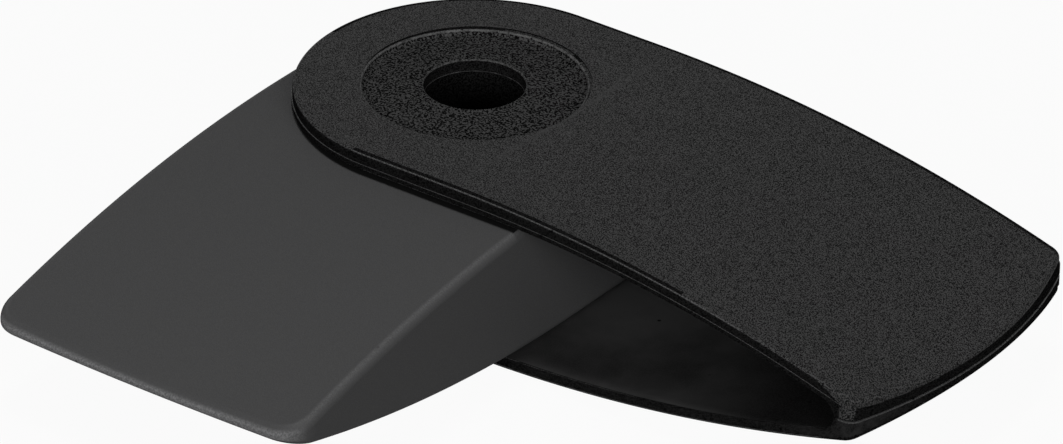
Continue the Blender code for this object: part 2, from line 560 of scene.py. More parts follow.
class Effects:
    """The surface effects that the finishes share, each a node group made once."""

    # Grain: scales against its own scale, ranges of the noise, and shares of height and tone
    PIT_SCALE = 0.8
    PIT_RANGE = (0.05, 0.65)
    DRIFT_SCALE = 0.06
    DRIFT_TONE = 0.15
    FINE_RANGE = (0.3, 0.7)
    FINE_HEIGHT = 0.65
    PIT_HEIGHT = 0.35
    TONE_RANGE = (0.44, 0.56)
    FINE_TONE = 0.85
    # Painted light and specks: ranges of the noise, and the least share of painted light that a patch keeps
    PATCH_RANGE = (0.3, 0.7)
    PATCH_LEAST = 0.2
    DOT_RANGE = (0.12, 0.3)

    @staticmethod
    def start(
        name: str, inputs: dict[str, str], outputs: list[str]
    ) -> tuple[NodeSheet, bpy.types.Node, bpy.types.Node]:
        """Starts a node group.

        Args:
            name: Name of the group.
            inputs: Socket type of each input by name.
            outputs: Names of its value outputs.

        Returns:
            Its sheet, the node that gives its inputs and the node that takes its outputs.
        """
        tree = bpy.data.node_groups.new(name, "ShaderNodeTree")
        for label, kind in inputs.items():
            tree.interface.new_socket(label, in_out="INPUT", socket_type=kind)
        for label in outputs:
            tree.interface.new_socket(label, in_out="OUTPUT", socket_type="NodeSocketFloat")
        sheet = NodeSheet(tree)
        return sheet, sheet.add("NodeGroupInput"), sheet.add("NodeGroupOutput")

    @classmethod
    def grain(cls) -> bpy.types.NodeTree:
        """Makes the grain that a spark-eroded mould leaves.

        Returns:
            A group that gives the grain's height and the tone that goes with it.
        """
        name = "mould_grain"
        if name in bpy.data.node_groups:
            return bpy.data.node_groups[name]
        sockets = {"Vector": "NodeSocketVector", "Scale": "NodeSocketFloat"}
        sheet, given, result = cls.start(name, sockets, ["Height", "Tone"])
        vector = given.outputs["Vector"]
        scale = given.outputs["Scale"]
        fine = sheet.add("ShaderNodeTexNoise", Vector=vector, Scale=scale, Detail=1.0, Roughness=0.5)
        pit_scale = sheet.math("MULTIPLY", scale, cls.PIT_SCALE)
        pits = sheet.add("ShaderNodeTexVoronoi", Vector=vector, Scale=pit_scale, Randomness=1.0)
        drift_scale = sheet.math("MULTIPLY", scale, cls.DRIFT_SCALE)
        drift = sheet.add("ShaderNodeTexNoise", Vector=vector, Scale=drift_scale, Detail=2.0)
        bumps = sheet.math("MULTIPLY", sheet.span(fine.outputs[0], *cls.FINE_RANGE), cls.FINE_HEIGHT)
        hollows = sheet.math(
            "MULTIPLY", sheet.span(pits.outputs["Distance"], *cls.PIT_RANGE), cls.PIT_HEIGHT
        )
        sheet.feed(result.inputs["Height"], sheet.math("ADD", bumps, hollows))
        fine_tone = sheet.span(fine.outputs[0], *cls.TONE_RANGE, 0.0, cls.FINE_TONE)
        slow_tone = sheet.math("MULTIPLY", drift.outputs[0], cls.DRIFT_TONE)
        sheet.feed(result.inputs["Tone"], sheet.math("ADD", fine_tone, slow_tone))
        return sheet.tree

    @classmethod
    def light_patches(cls) -> bpy.types.NodeTree:
        """Makes painted light and shade, broken into uneven patches, from the mesh's own attribute.

        Returns:
            A group that gives the mask of the painted light and shade.
        """
        name = "edge_wear"
        if name in bpy.data.node_groups:
            return bpy.data.node_groups[name]
        sockets = {"Vector": "NodeSocketVector", "Edge": "NodeSocketFloat", "Scale": "NodeSocketFloat"}
        sheet, given, result = cls.start(name, sockets, ["Mask"])
        patches = sheet.add(
            "ShaderNodeTexNoise",
            Vector=given.outputs["Vector"],
            Scale=given.outputs["Scale"],
            Detail=4.0,
            Roughness=0.6,
        )
        uneven = sheet.span(patches.outputs[0], *cls.PATCH_RANGE, cls.PATCH_LEAST, 1.0)
        sheet.feed(result.inputs["Mask"], sheet.math("MULTIPLY", given.outputs["Edge"], uneven))
        return sheet.tree

    @classmethod
    def specks(cls) -> bpy.types.NodeTree:
        """Makes sparse small specks, such as dust and pinholes.

        Returns:
            A group that gives the specks' mask.
        """
        name = "specks"
        if name in bpy.data.node_groups:
            return bpy.data.node_groups[name]
        sockets = {"Vector": "NodeSocketVector", "Scale": "NodeSocketFloat", "Share": "NodeSocketFloat"}
        sheet, given, result = cls.start(name, sockets, ["Mask"])
        cells = sheet.add(
            "ShaderNodeTexVoronoi",
            Vector=given.outputs["Vector"],
            Scale=given.outputs["Scale"],
            Randomness=1.0,
        )
        draw = sheet.add("ShaderNodeSeparateColor", Color=cells.outputs["Color"]).outputs[0]
        chosen = sheet.math("LESS_THAN", draw, given.outputs["Share"])
        dot = sheet.span(cells.outputs["Distance"], *cls.DOT_RANGE, 1.0, 0.0)
        sheet.feed(result.inputs["Mask"], sheet.math("MULTIPLY", chosen, dot))
        return sheet.tree


@dataclass(frozen=True)
class Finish:
    """A matte moulded surface: its colour, its grain, its specks, the light and shade painted from the
    mesh's attribute, and a painted shadow band round the pivot.
    """

    name: str
    colour: Colour
    # The colour of the painted light that the mesh's attribute mixes in: painted highlights and painted
    # light.
    painted_light_colour: Colour
    speck_colour: Colour
    roughness: float
    roughness_swing: float
    specular: float
    grain_size: float
    grain_depth: float
    tone_swing: float
    speck_size: float
    speck_share: float
    # Size of the patches that break up the painted light.
    painted_light_size: float
    # A band round the pivot, from its inner to its outer radius, painted dark: the painted shadow of the
    # plate's edge, with its softness, colour and centre.
    painted_shadow: tuple[float, float] = (0.0, 0.0)
    painted_shadow_soft: float = 0.15 * MM
    painted_shadow_colour: Colour = (0.006, 0.006, 0.006, 1.0)
    painted_shadow_centre: Place = (0.0, 0.0, 0.0)

    def paint_shadow(self, sheet: NodeSheet, place: bpy.types.NodeSocket) -> bpy.types.NodeSocket:
        """Adds the painted shadow that the plate's edge casts into the gap, a band along the plate's
        outline.

        Args:
            sheet: The material's sheet.
            place: The surface's place.

        Returns:
            The line's mask.
        """
        centre = tuple(-c for c in self.painted_shadow_centre)
        centred = sheet.add("ShaderNodeMapping", Vector=place, Location=centre).outputs[0]
        parts = sheet.add("ShaderNodeSeparateXYZ", Vector=centred).outputs
        behind = sheet.math("MINIMUM", parts["X"], 0.0)
        squares = [sheet.math("MULTIPLY", part, part) for part in (behind, parts["Y"])]
        spread = sheet.math("SQRT", sheet.math("ADD", *squares))
        start, end = self.painted_shadow
        inner = sheet.span(spread, start - self.painted_shadow_soft, start)
        return sheet.math("MULTIPLY", inner, sheet.span(spread, end - self.painted_shadow_soft, end, 1.0, 0.0))

    def shade(self, change: float) -> Colour:
        """Returns the finish's colour, lighter or darker by a share."""
        return tuple(c * (1 + change) for c in self.colour[:3]) + (1.0,)

    def make(self) -> bpy.types.Material:
        """Makes the material.

        Returns:
            The finish as a material.
        """
        material = bpy.data.materials.new(self.name)
        material.use_nodes = True
        sheet = NodeSheet(material.node_tree)
        place = sheet.add("ShaderNodeTexCoord").outputs["Object"]
        vector = sheet.add("ShaderNodeMapping", Vector=place, Rotation=GRAIN_TURN).outputs[0]
        edge = sheet.add("ShaderNodeAttribute", {"attribute_name": PAINTED_LIGHT_ATTRIBUTE}).outputs["Fac"]
        grain = sheet.effect(Effects.grain(), Vector=vector, Scale=1 / self.grain_size)
        light_patches = sheet.effect(Effects.light_patches(), Vector=vector, Edge=edge, Scale=1 / self.painted_light_size)
        specks = sheet.effect(
            Effects.specks(), Vector=vector, Scale=1 / self.speck_size, Share=self.speck_share
        )
        tone = grain["Tone"]
        colour = sheet.mix(tone, self.shade(-self.tone_swing), self.shade(self.tone_swing))
        # Painted light and shade from the mesh's attribute, broken into patches.
        colour = sheet.mix(light_patches["Mask"], colour, self.painted_light_colour)
        colour = sheet.mix(specks["Mask"], colour, self.speck_colour)
        # The painted shadow band under the plate's edge.
        if self.painted_shadow[1]:
            colour = sheet.mix(self.paint_shadow(sheet, place), colour, self.painted_shadow_colour)
        dull, sleek = self.roughness + self.roughness_swing, self.roughness - self.roughness_swing
        bump = sheet.add("ShaderNodeBump", Strength=1.0, Distance=self.grain_depth, Height=grain["Height"])
        shader = sheet.add(
            "ShaderNodeBsdfPrincipled",
            Base_Color=colour,
            Roughness=sheet.span(tone, 0.0, 1.0, dull, sleek),
            Normal=bump.outputs[0],
        )
        shader.inputs["Specular IOR Level"].default_value = self.specular
        sheet.add("ShaderNodeOutputMaterial", Surface=shader.outputs[0])
        return material


def grey(level: float) -> Colour:
    """Returns a neutral grey of one linear level."""
    return (level, level, level, 1.0)


# The lit copy of the black plastic, on the top: four times as light as the darker copy on the walls,
# painted light.
SATIN_PLASTIC = Finish(
    name="satin_black_plastic",
    colour=grey(0.0205),
    painted_light_colour=grey(0.03),
    speck_colour=grey(0.004),
    roughness=0.5,
    roughness_swing=0.08,
    specular=0.02,
    grain_size=0.085 * MM,
    grain_depth=8 * MICRON,
    tone_swing=1.0,
    speck_size=0.5 * MM,
    speck_share=0.12,
    painted_light_size=0.5 * MM,
)

RING_PLASTIC = Finish(
    name="spark_grained_black_plastic",
    colour=grey(0.021),
    # Painted highlight on the ring's lip and the hole's rim.
    painted_light_colour=grey(0.075),
    speck_colour=grey(0.001),
    roughness=0.55,
    roughness_swing=0.1,
    specular=0.0,
    grain_size=0.15 * MM,
    grain_depth=40 * MICRON,
    tone_swing=1.0,
    speck_size=0.3 * MM,
    speck_share=0.3,
    painted_light_size=0.4 * MM,
)

# The darker copy of the black plastic: painted shade on the walls, the hole and the tip, and painted dark
# lines; its painted light is a highlight line on the bead in the hole.
SHADED_SIDE_PLASTIC = Finish(
    name="plain_black_plastic",
    colour=grey(0.005),
    painted_light_colour=grey(0.06),
    speck_colour=grey(0.001),
    roughness=0.55,
    roughness_swing=0.08,
    specular=0.0,
    grain_size=0.1 * MM,
    grain_depth=5 * MICRON,
    tone_swing=0.7,
    speck_size=0.5 * MM,
    speck_share=0.07,
    painted_light_size=0.5 * MM,
)

# The lower half's darker copy, with more grain tone; its painted light lightens the lower wall and the tip
# near its corner.
LOWER_SHADED_SIDE_PLASTIC = replace(
    SHADED_SIDE_PLASTIC,
    name="grained_black_plastic",
    painted_light_colour=grey(0.018),
    tone_swing=0.9,
)

# The pocket's copy of the black plastic: its painted light makes the pocket lighter near the pivot, fading
# to painted shade towards the tip.
INSIDE_PLASTIC = Finish(
    name="smooth_black_plastic",
    colour=grey(0.012),
    painted_light_colour=grey(0.045),
    speck_colour=grey(0.006),
    roughness=0.45,
    roughness_swing=0.06,
    specular=0.0,
    grain_size=0.1 * MM,
    grain_depth=3 * MICRON,
    tone_swing=0.35,
    speck_size=0.6 * MM,
    speck_share=0.015,
    painted_light_size=12.0 * MM,
)

# A lighter copy of the top's plastic, for the painted highlight lines along the rim, the ledge, the seam
# and the lower half's rim.
HIGHLIGHT_PLASTIC = replace(
    SATIN_PLASTIC,
    name="rubbed_black_plastic",
    colour=grey(0.033),
    tone_swing=0.6,
    specular=0.08,
)

DARK_RUBBER = Finish(
    name="dark_grey_rubber",
    colour=(0.044, 0.044, 0.0445, 1.0),
    # The painted highlight along the rim and the nose.
    painted_light_colour=(0.13, 0.13, 0.132, 1.0),
    speck_colour=(0.041, 0.041, 0.0415, 1.0),
    roughness=0.8,
    roughness_swing=0.05,
    specular=0.03,
    grain_size=0.07 * MM,
    grain_depth=3 * MICRON,
    tone_swing=0.07,
    speck_size=0.5 * MM,
    speck_share=0.03,
    painted_light_size=0.12 * MM,
)

# The rubber's flats with the painted shadow of the plate's edge, in a band round the pivot.
SHADOWED_RUBBER = replace(DARK_RUBBER, name="marked_grey_rubber", painted_shadow=(11.4 * MM, 12.5 * MM))


@dataclass
class SleeveHalf:
    """One moulding of the sleeve: a plate with its tip wall, dished ring, hole and part of the hub.

    The slope or level of a face is the upward part of its normal.
    """

    half: Half
    sizes: FrameSizes
    # Plan, outer face and thickness
    flat: float = 6.85 * MM
    tip_thickness: float = 1.6 * MM
    tip_radius: float = 36.0 * MM
    corner: float = 1.0 * MM
    plate: float = 1.2 * MM
    # Rim, the strip inside it, and the depths and stretches of the painted highlight line and painted dark
    # line along them
    rim: float = 0.25 * MM
    low_rim: float = 0.4 * MM
    rim_steps: int = 8
    rim_line: tuple[float, float] = (0.045 * MM, 0.11 * MM)
    rim_line_end: float = 31.0 * MM
    low_line: tuple[float, float] = (0.63, 0.79)
    strip_width: float = 0.18 * MM
    dark_line_reach: tuple[float, float] = (-1.0 * MM, 26.0 * MM)
    # Corners of the tip: start and slope of the lines where the sides roll over, and how far the painted
    # light near the corner reaches
    corner_end: float = 2.2 * MM
    corner_cuts: tuple[tuple[float, float], ...] = ((36.8 * MM, 0.34), (38.0 * MM, 1.3))
    corner_reach: float = 8.0 * MM
    tip_line: float = 0.37 * MM
    corner_line: float = 0.3 * MM
    # Wall, with the share of painted light on the lower half's wall, its ledge, and the seam across the tip
    wall_cuts: int = 5
    wall_share: float = 0.12
    ledge_drop: float = 0.8 * MM
    ledge: float = 0.08 * MM
    seam: float = 0.12 * MM
    seam_steps: int = 2
    seam_level: float = -0.98
    # Pocket, its edge, and the stretch over which the pocket's painted light fades to painted shade towards
    # the tip
    pocket_flat: float = 9.5 * MM
    tip_wall: float = 1.6 * MM
    pocket_end_height: float = 0.5 * MM
    pocket_end_round: float = 0.9 * MM
    pocket_edge: float = 0.2 * MM
    pocket_edge_steps: int = 3
    pocket_edge_slope: float = -0.3
    pocket_edge_level: float = -0.85
    pocket_light_fade: tuple[float, float] = (25.0 * MM, 33.0 * MM)
    # Dished ring about the pivot, the width of the painted highlight on its lip, and the crescent beside it
    ring_radius: float = 7.7 * MM
    ring_depth: float = 0.32 * MM
    ring_rise: float = 0.3 * MM
    ring_lip: float = 0.14 * MM
    lip_steps: int = 5
    lip_highlight: float = 0.9
    ring_fillet: float = 0.14 * MM
    fillet_steps: int = 6
    gap_start: float = 7.87 * MM
    gap_radius: float = 7.89 * MM
    gap_shift: float = 0.36 * MM
    gap_depth: float = 0.1 * MM
    gap_heading: float = math.radians(109)
    # Hole, with the share of painted highlight on its rim, and hub
    hole_radius: float = 3.5 * MM
    hole_edge: float = 0.12 * MM
    hole_steps: int = 7
    hole_highlight: float = 0.4
    hole_bead: float = 0.03 * MM
    bead_height: float = 0.1 * MM
    hole_wall: float = 0.95 * MM
    spigot_bore: float = 4.1 * MM
    hub_wall: float = 0.8 * MM
    hub_gap: float = 0.3 * MM
    # Fineness of the mesh, the slope between wall and floor, and how far a cutter stands over
    turn_steps: int = 180
    slices: int = 44
    wall_slope: float = 0.5
    over: float = 1.0 * MM
    outer: Crown = field(init=False)
    ceiling: Crown = field(init=False)

    def __post_init__(self) -> None:
        """Works out the rim and the curves of the outer face and of the pocket's ceiling."""
        sizes = self.sizes
        if self.half is Half.LOWER:
            self.rim = self.low_rim
        self.outer = Crown(sizes.sleeve_half, self.flat, sizes.sleeve_reach, self.tip_thickness / 2)
        self.ceiling = Crown(
            sizes.sleeve_half - self.plate,
            self.pocket_flat,
            self.pocket_reach,
            self.pocket_end_height / 2,
        )

    @property
    def pocket_reach(self) -> float:
        """Returns how far the pocket reaches from the pivot."""
        return self.sizes.sleeve_reach - self.tip_wall

    @property
    def hole_under(self) -> float:
        """Returns the height of the hole's lower edge."""
        return self.sizes.sleeve_half - self.ring_depth + self.ring_rise - self.hole_wall

    @property
    def thumb_sign(self) -> int:
        """Returns the sign of y on the side that the thumb sweeps, in the blank's own frame."""
        return -1 if self.half is Half.UPPER else 1

    def moulded(self, x: float, level: float) -> float:
        """Moulds a point of the level blank.

        Args:
            x: The point's distance along the length.
            level: Its height in the blank.

        Returns:
            Its moulded height.
        """
        ceiling = self.ceiling.height(x)
        if level <= self.ceiling.level:
            return level / self.ceiling.level * ceiling
        return ceiling + (level - self.ceiling.level) / self.plate * (self.outer.height(x) - ceiling)

    def blank(self) -> bpy.types.Object:
        """Makes the level blank: the outline raised to a fine ledge, then to the top, with a round rim.

        Returns:
            The blank.
        """
        sizes, top = self.sizes, self.sizes.sleeve_half
        outline = Outline(sizes.sleeve_width, sizes.sleeve_reach, self.tip_radius, self.corner)
        slab = Bench.ring(self.half.value + "_dressed", outline.places(0.0), filled=True)
        with Bench.edit(slab):
            Bench.raise_plan(top - self.ledge_drop)
            bpy.ops.mesh.inset(thickness=self.ledge, depth=0.0)
            bpy.ops.mesh.extrude_region_move(TRANSFORM_OT_translate={"value": (0, 0, self.ledge_drop)})
            Bench.face_outward()
            Bench.pick(slab, Pick.EDGES, lambda e: all(v.co.z > top - NEAR for v in e.verts))
            Bench.bevel(self.rim, self.rim_steps)
            Bench.pick(slab, Pick.FACES, lambda f: all(v.co.z > top - NEAR for v in f.verts))
            bpy.ops.mesh.inset(thickness=self.strip_width, depth=0.0)
            for i in range(1, self.wall_cuts + 1):
                drop = self.rim + (self.ledge_drop - self.rim) * i / (self.wall_cuts + 1)
                bpy.ops.mesh.select_all(action="SELECT")
                bpy.ops.mesh.bisect(plane_co=(0, 0, top - drop), plane_no=(0, 0, 1), threshold=NEAR)
        return slab

    def pocket(self) -> bpy.types.Object:
        """Makes the level pocket: a disc whose rim is rounded and then drawn up to the ceiling.

        Returns:
            The cutter.
        """
        height = self.pocket_end_round
        depth = height + self.over
        bpy.ops.object.select_all(action="DESELECT")
        bpy.ops.mesh.primitive_cylinder_add(
            vertices=2 * self.turn_steps,
            radius=self.pocket_reach,
            depth=depth,
            location=(0, 0, height - depth / 2),
        )
        disc = bpy.context.object
        bpy.ops.object.transform_apply(location=True, rotation=True, scale=True)
        with Bench.edit(disc):
            Bench.pick(disc, Pick.EDGES, lambda e: all(v.co.z > height - NEAR for v in e.verts))
            Bench.bevel(height - NEAR, self.rim_steps, clamped=False)
            bpy.ops.mesh.select_all(action="SELECT")
            bpy.ops.transform.resize(value=(1, 1, self.ceiling.level / height), center_override=(0, 0, 0))
        return disc

    def round_pocket(self, shell: bpy.types.Object) -> None:
        """Rounds the edge of the pocket's ceiling.

        Args:
            shell: The level blank with its pocket.
        """
        level = self.ceiling.level
        with Bench.edit(shell):
            Bench.pick(
                shell,
                Pick.EDGES,
                lambda e: Bench.sharp(e) and all(abs(v.co.z - level) < NEAR for v in e.verts),
            )
            Bench.bevel(self.pocket_edge, self.pocket_edge_steps)

    def ease_tip(self, shell: bpy.types.Object) -> None:
        """Eases the seam across the tip and cuts the lines where its sides roll over into the corners.

        Args:
            shell: The moulded blank.
        """
        seam_start = self.pocket_reach + self.seam
        with Bench.edit(shell):
            Bench.pick(
                shell,
                Pick.EDGES,
                lambda e: Bench.sharp(e)
                and all(abs(v.co.z) < NEAR and v.co.xy.length > seam_start for v in e.verts),
            )
            Bench.bevel(self.seam, self.seam_steps, clamped=False)
            for start, slope in self.corner_cuts:
                Bench.pick(
                    shell,
                    Pick.FACES,
                    lambda f: abs(f.normal.y) > self.wall_slope and max(v.co.x for v in f.verts) > start,
                )
                height = self.outer.height(start)
                fall = (height - self.outer.height(start + self.corner)) / self.corner
                bpy.ops.mesh.bisect(
                    plane_co=(start, 0, height), plane_no=(slope + fall, 0, 1), threshold=NEAR
                )

    def hub_profile(self, bore: float) -> Points:
        """Sets out what is turned away at the pivot.

        Args:
            bore: Radius of the hub's bore.

        Returns:
            The profile of the ring with its lip and fillet, the hole with its soft rim, and the bore.
        """
        top = self.sizes.sleeve_half
        floor = top - self.ring_depth
        rim = floor + self.ring_rise
        under = self.hole_under
        below = -self.sizes.sleeve_half - self.over
        lip_centre = (self.ring_radius + self.ring_lip, top - self.ring_lip)
        fillet_centre = (self.ring_radius - self.ring_fillet, floor + self.ring_fillet)
        edge_centre = (self.hole_radius + self.hole_edge, rim - self.hole_edge)
        return [
            (0.0, top + self.over),
            (self.ring_radius + self.ring_lip, top + self.over),
            *arc(lip_centre, self.ring_lip, QUARTER, math.pi, self.lip_steps),
            *arc(fillet_centre, self.ring_fillet, 0.0, -QUARTER, self.fillet_steps),
            *arc(edge_centre, self.hole_edge, QUARTER, math.pi, self.hole_steps),
            (self.hole_radius, under + self.bead_height),
            (self.hole_radius - self.hole_bead, under + self.bead_height / 2),
            (self.hole_radius, under),
            (bore, under),
            (bore, below),
            (0.0, below),
        ]

    def gap(self) -> bpy.types.Object:
        """Makes the crescent that is cut outside the ring's lip: a disc set off the pivot, less its middle.

        Returns:
            The cutter.
        """
        high = self.sizes.sleeve_half + self.over
        low = self.sizes.sleeve_half - self.gap_depth
        disc = Bench.disc("gap_cut", self.gap_radius, high, low, self.turn_steps)
        heading = Vector((math.cos(self.gap_heading), -self.thumb_sign * math.sin(self.gap_heading), 0.0))
        Bench.place(disc, Matrix.Translation(heading * self.gap_shift))
        core = Bench.disc("gap_core", self.gap_start, high + self.over, low - self.over, self.turn_steps)
        Bench.shape(disc, core, Cut.AWAY)
        return disc

    def hub(self) -> tuple[float, float, float]:
        """Works out this half's part of the hub.

        Returns:
            The barrel's radius, the level it reaches down to, and its bore's radius.
        """
        spigot = self.spigot_bore + self.hub_wall
        if self.half is Half.LOWER:
            return spigot, self.hub_gap - self.hole_under, self.spigot_bore
        socket = spigot + self.hub_gap
        return socket + self.hub_wall, self.hub_gap - self.ceiling.level, socket

    def painted_light_share(self, point: Vector) -> float:
        """Works out each point's share of painted light: painted highlights on the ring's lip, the hole's
        rim and the bead in the hole, painted light on the lower half's wall and near the tip's corner, and
        in the pocket painted light that fades to painted shade towards the tip.

        Args:
            point: A point of the mesh.

        Returns:
            Its share, from 0 to 1.
        """
        radius = math.hypot(point.x, point.y)
        lip = self.ring_radius + NEAR < radius < self.ring_radius + self.lip_highlight * self.ring_lip
        hole = self.hole_radius + NEAR < radius < self.hole_radius + self.hole_edge - NEAR
        bead = radius < self.hole_radius - self.hole_bead / 2
        # Painted highlights on the lip, the hole's rim and the bead.
        if point.z > self.ceiling.level and (lip or hole or bead):
            return self.hole_highlight if hole else 1.0
        depth = self.depth(point)
        on_plate = depth < self.plate - NEAR
        at_side = abs(point.y) > self.sizes.sleeve_width / 2 - self.rim
        wall = radius > self.ring_radius and on_plate and at_side
        at_tip = radius > self.pocket_reach + NEAR
        # The lower half's wall and tip: painted light, strongest near the tip's corner.
        if self.half is Half.LOWER and (wall or at_tip) and depth > self.rim:
            return max(self.corner_share(point), self.wall_share if wall else 0.0)
        # The pocket: painted light up to the stretch, fading to painted shade towards the tip.
        if radius < self.pocket_flat or on_plate:
            return 0.0
        start, end = self.pocket_light_fade
        return ramp(point.x, end, start)

    def thumb_side(self, point: Vector) -> bool:
        """Returns whether a point lies on the side that the thumb sweeps."""
        return self.thumb_sign * point.y > 0

    def on_strip(self, point: Vector) -> bool:
        """Returns whether a point lies on the rim or on the narrow strip inside it."""
        spread = math.hypot(min(point.x, 0.0), point.y)
        return spread > self.sizes.sleeve_width / 2 - self.ledge - self.rim - self.strip_width

    def corner_share(self, point: Vector) -> float:
        """Works out how near a point lies to the corner of the tip on the thumb's side.

        Args:
            point: The point.

        Returns:
            1 at the corner, 0 from the corner's reach outwards.
        """
        along = self.sizes.sleeve_reach - 2 * self.corner
        corner = Vector((along, self.thumb_sign * self.sizes.sleeve_width / 2, 0.0))
        return max(1 - (point - corner).length / self.corner_reach, 0.0)

    def rolled(self, point: Vector) -> bool:
        """Returns whether a point lies past the lines where the tip's sides roll over into the corners."""
        drop = self.outer.height(point.x) - point.z
        return any(drop < slope * (point.x - start) for start, slope in self.corner_cuts)

    def depth(self, point: Vector) -> float:
        """Returns how deep a point lay below the top of the level blank."""
        outer, ceiling = self.outer.height(point.x), self.ceiling.height(point.x)
        return (outer - point.z) / (outer - ceiling) * self.plate

    def surface_of(self, centre: Vector, normal: Vector) -> Surface:
        """Picks the copy of the plastic that a face carries; the lighter and darker copies paint the
        sleeve's light and shade.

        Args:
            centre: Middle of the face.
            normal: The way it faces.

        Returns:
            The finish.
        """
        radius = math.hypot(centre.x, centre.y)
        sunk = self.outer.height(centre.x) - centre.z > 2 * NEAR
        if radius < self.ring_radius + self.ring_lip and sunk:
            on_ring = centre.z > self.ceiling.level and radius > self.hole_radius + NEAR
            return Surface.RING if on_ring else Surface.SIDE
        depth = self.depth(centre)
        # The shallow crescent outside the ring's lip takes the darker copy: a painted dark line.
        beside_ring = self.gap_start - NEAR < radius < self.gap_radius + self.gap_shift
        if beside_ring and 2 * NEAR < depth < 2 * self.gap_depth:
            return Surface.SIDE
        # Across the tip's seam the facets take the darker copy, except a painted highlight line on the
        # lower half's.
        at_tip = radius > self.sizes.sleeve_reach - 2 * self.tip_wall
        if at_tip and abs(centre.z) < self.seam and normal.z < 0:
            highlit = self.half is Half.LOWER and normal.z > self.seam_level
            return Surface.RUBBED if highlit else Surface.SIDE
        # The pocket's rounded edge takes the top's lighter copy, a painted light line along the plate's
        # lower edge, except the lower half's steepest facets, which take the darker copy.
        on_pocket_edge = self.plate - self.pocket_edge < depth < self.plate - NEAR
        if on_pocket_edge and normal.z < self.pocket_edge_slope:
            edge_lit = self.half is Half.UPPER or normal.z > self.pocket_edge_level
            return Surface.TOP if edge_lit else Surface.SIDE
        outward = normal.xy.dot(centre.xy) > 0
        if depth > self.plate - NEAR and (normal.z < -self.wall_slope or not outward):
            return Surface.INSIDE
        if self.rolled(centre) and (self.thumb_side(centre) or not self.on_strip(centre)):
            return self.tip_surface(centre, depth)
        # The ledge takes the lighter copy: a painted highlight line.
        if abs(depth - self.ledge_drop) < self.ledge and normal.z > self.wall_slope:
            return Surface.RUBBED
        return self.rim_surface(centre, depth)

    def tip_surface(self, centre: Vector, depth: float) -> Surface:
        """Picks the copy at the tip, where the sides roll over into the corners, painting a boundary
        between light and shade.

        Args:
            centre: Middle of the face.
            depth: Its depth below the top of the level blank.

        Returns:
            The top's lighter copy down to a line and on the facets before the corner, the darker copy below
            it.
        """
        if self.half is Half.LOWER:
            return Surface.TOP if depth < self.rim_line[0] else Surface.SIDE
        corner_lit = centre.x < self.sizes.sleeve_reach - self.corner_end
        line = self.tip_line + self.corner_line * self.corner_share(centre)
        return Surface.TOP if depth < line or corner_lit else Surface.SIDE

    def rim_surface(self, centre: Vector, depth: float) -> Surface:
        """Picks the copy on the rim and the wall along the sides and round the pivot end, painting light
        and dark lines.

        Args:
            centre: Middle of the face.
            depth: Its depth below the top of the level blank.

        Returns:
            The copy: a painted dark line on the far side's strip; on the thumb's side a painted dark line
                on the strip, a painted highlight line on the rim, another low on the lower half's rim, and
                painted shade below.
        """
        if not self.thumb_side(centre):
            return Surface.SIDE if self.on_strip(centre) else Surface.TOP
        if self.half is Half.LOWER and self.low_line[0] < depth / self.rim < self.low_line[1]:
            return Surface.RUBBED
        if depth < self.rim_line[0]:
            in_dark_line = self.dark_line_reach[0] < centre.x < self.dark_line_reach[1] and self.on_strip(centre)
            return Surface.SIDE if in_dark_line else Surface.TOP
        if depth < self.rim_line[1]:
            return Surface.RUBBED if self.dark_line_reach[0] < centre.x < self.rim_line_end else Surface.TOP
        return Surface.SIDE

    def build(self) -> bpy.types.Object:
        """Builds this half: a level blank with its pocket, moulded, then turned at the pivot.

        Returns:
            The finished mesh.
        """
        shell = self.blank()
        Bench.shape(shell, self.pocket(), Cut.AWAY)
        self.round_pocket(shell)
        Bench.slice_across(shell, self.outer.places(self.slices))
        Bench.mould(shell, self.moulded)
        self.ease_tip(shell)
        radius, end, bore = self.hub()
        root = self.ceiling.level + self.plate / 2
        Bench.shape(shell, Bench.disc("barrel", radius, root, end, self.turn_steps), Cut.ON)
        Bench.shape(shell, Bench.turned("hub_cut", self.hub_profile(bore), self.turn_steps), Cut.AWAY)
        Bench.shape(shell, self.gap(), Cut.AWAY)
        return shell

    def dress(self, shell: bpy.types.Object) -> None:
        """Gives each face its copy of the plastic, which paints the light and shade, and writes each
        point's share of painted light.

        Args:
            shell: The finished mesh.
        """
        shell.data.materials.clear()
        side = LOWER_SHADED_SIDE_PLASTIC if self.half is Half.LOWER else SHADED_SIDE_PLASTIC
        for finish in (SATIN_PLASTIC, RING_PLASTIC, side, INSIDE_PLASTIC, HIGHLIGHT_PLASTIC):
            shell.data.materials.append(bpy.data.materials.get(finish.name) or finish.make())
        for face in shell.data.polygons:
            face.material_index = self.surface_of(face.center, face.normal).value
        Bench.write_painted_light(shell, self.painted_light_share)

    def fit(self) -> bpy.types.Object:
        """Builds and dresses this half and places it in the frame.

        Returns:
            The piece.
        """
        shell = self.build()
        self.dress(shell)
        turn = Matrix.Rotation(math.pi if self.half is Half.LOWER else 0.0, 4, "X")
        Bench.place(shell, Matrix.Translation(self.sizes.pivot) @ turn)
        Bench.smooth(shell)
        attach(shell, "sleeve")
        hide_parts(self.half.value)
        return shell


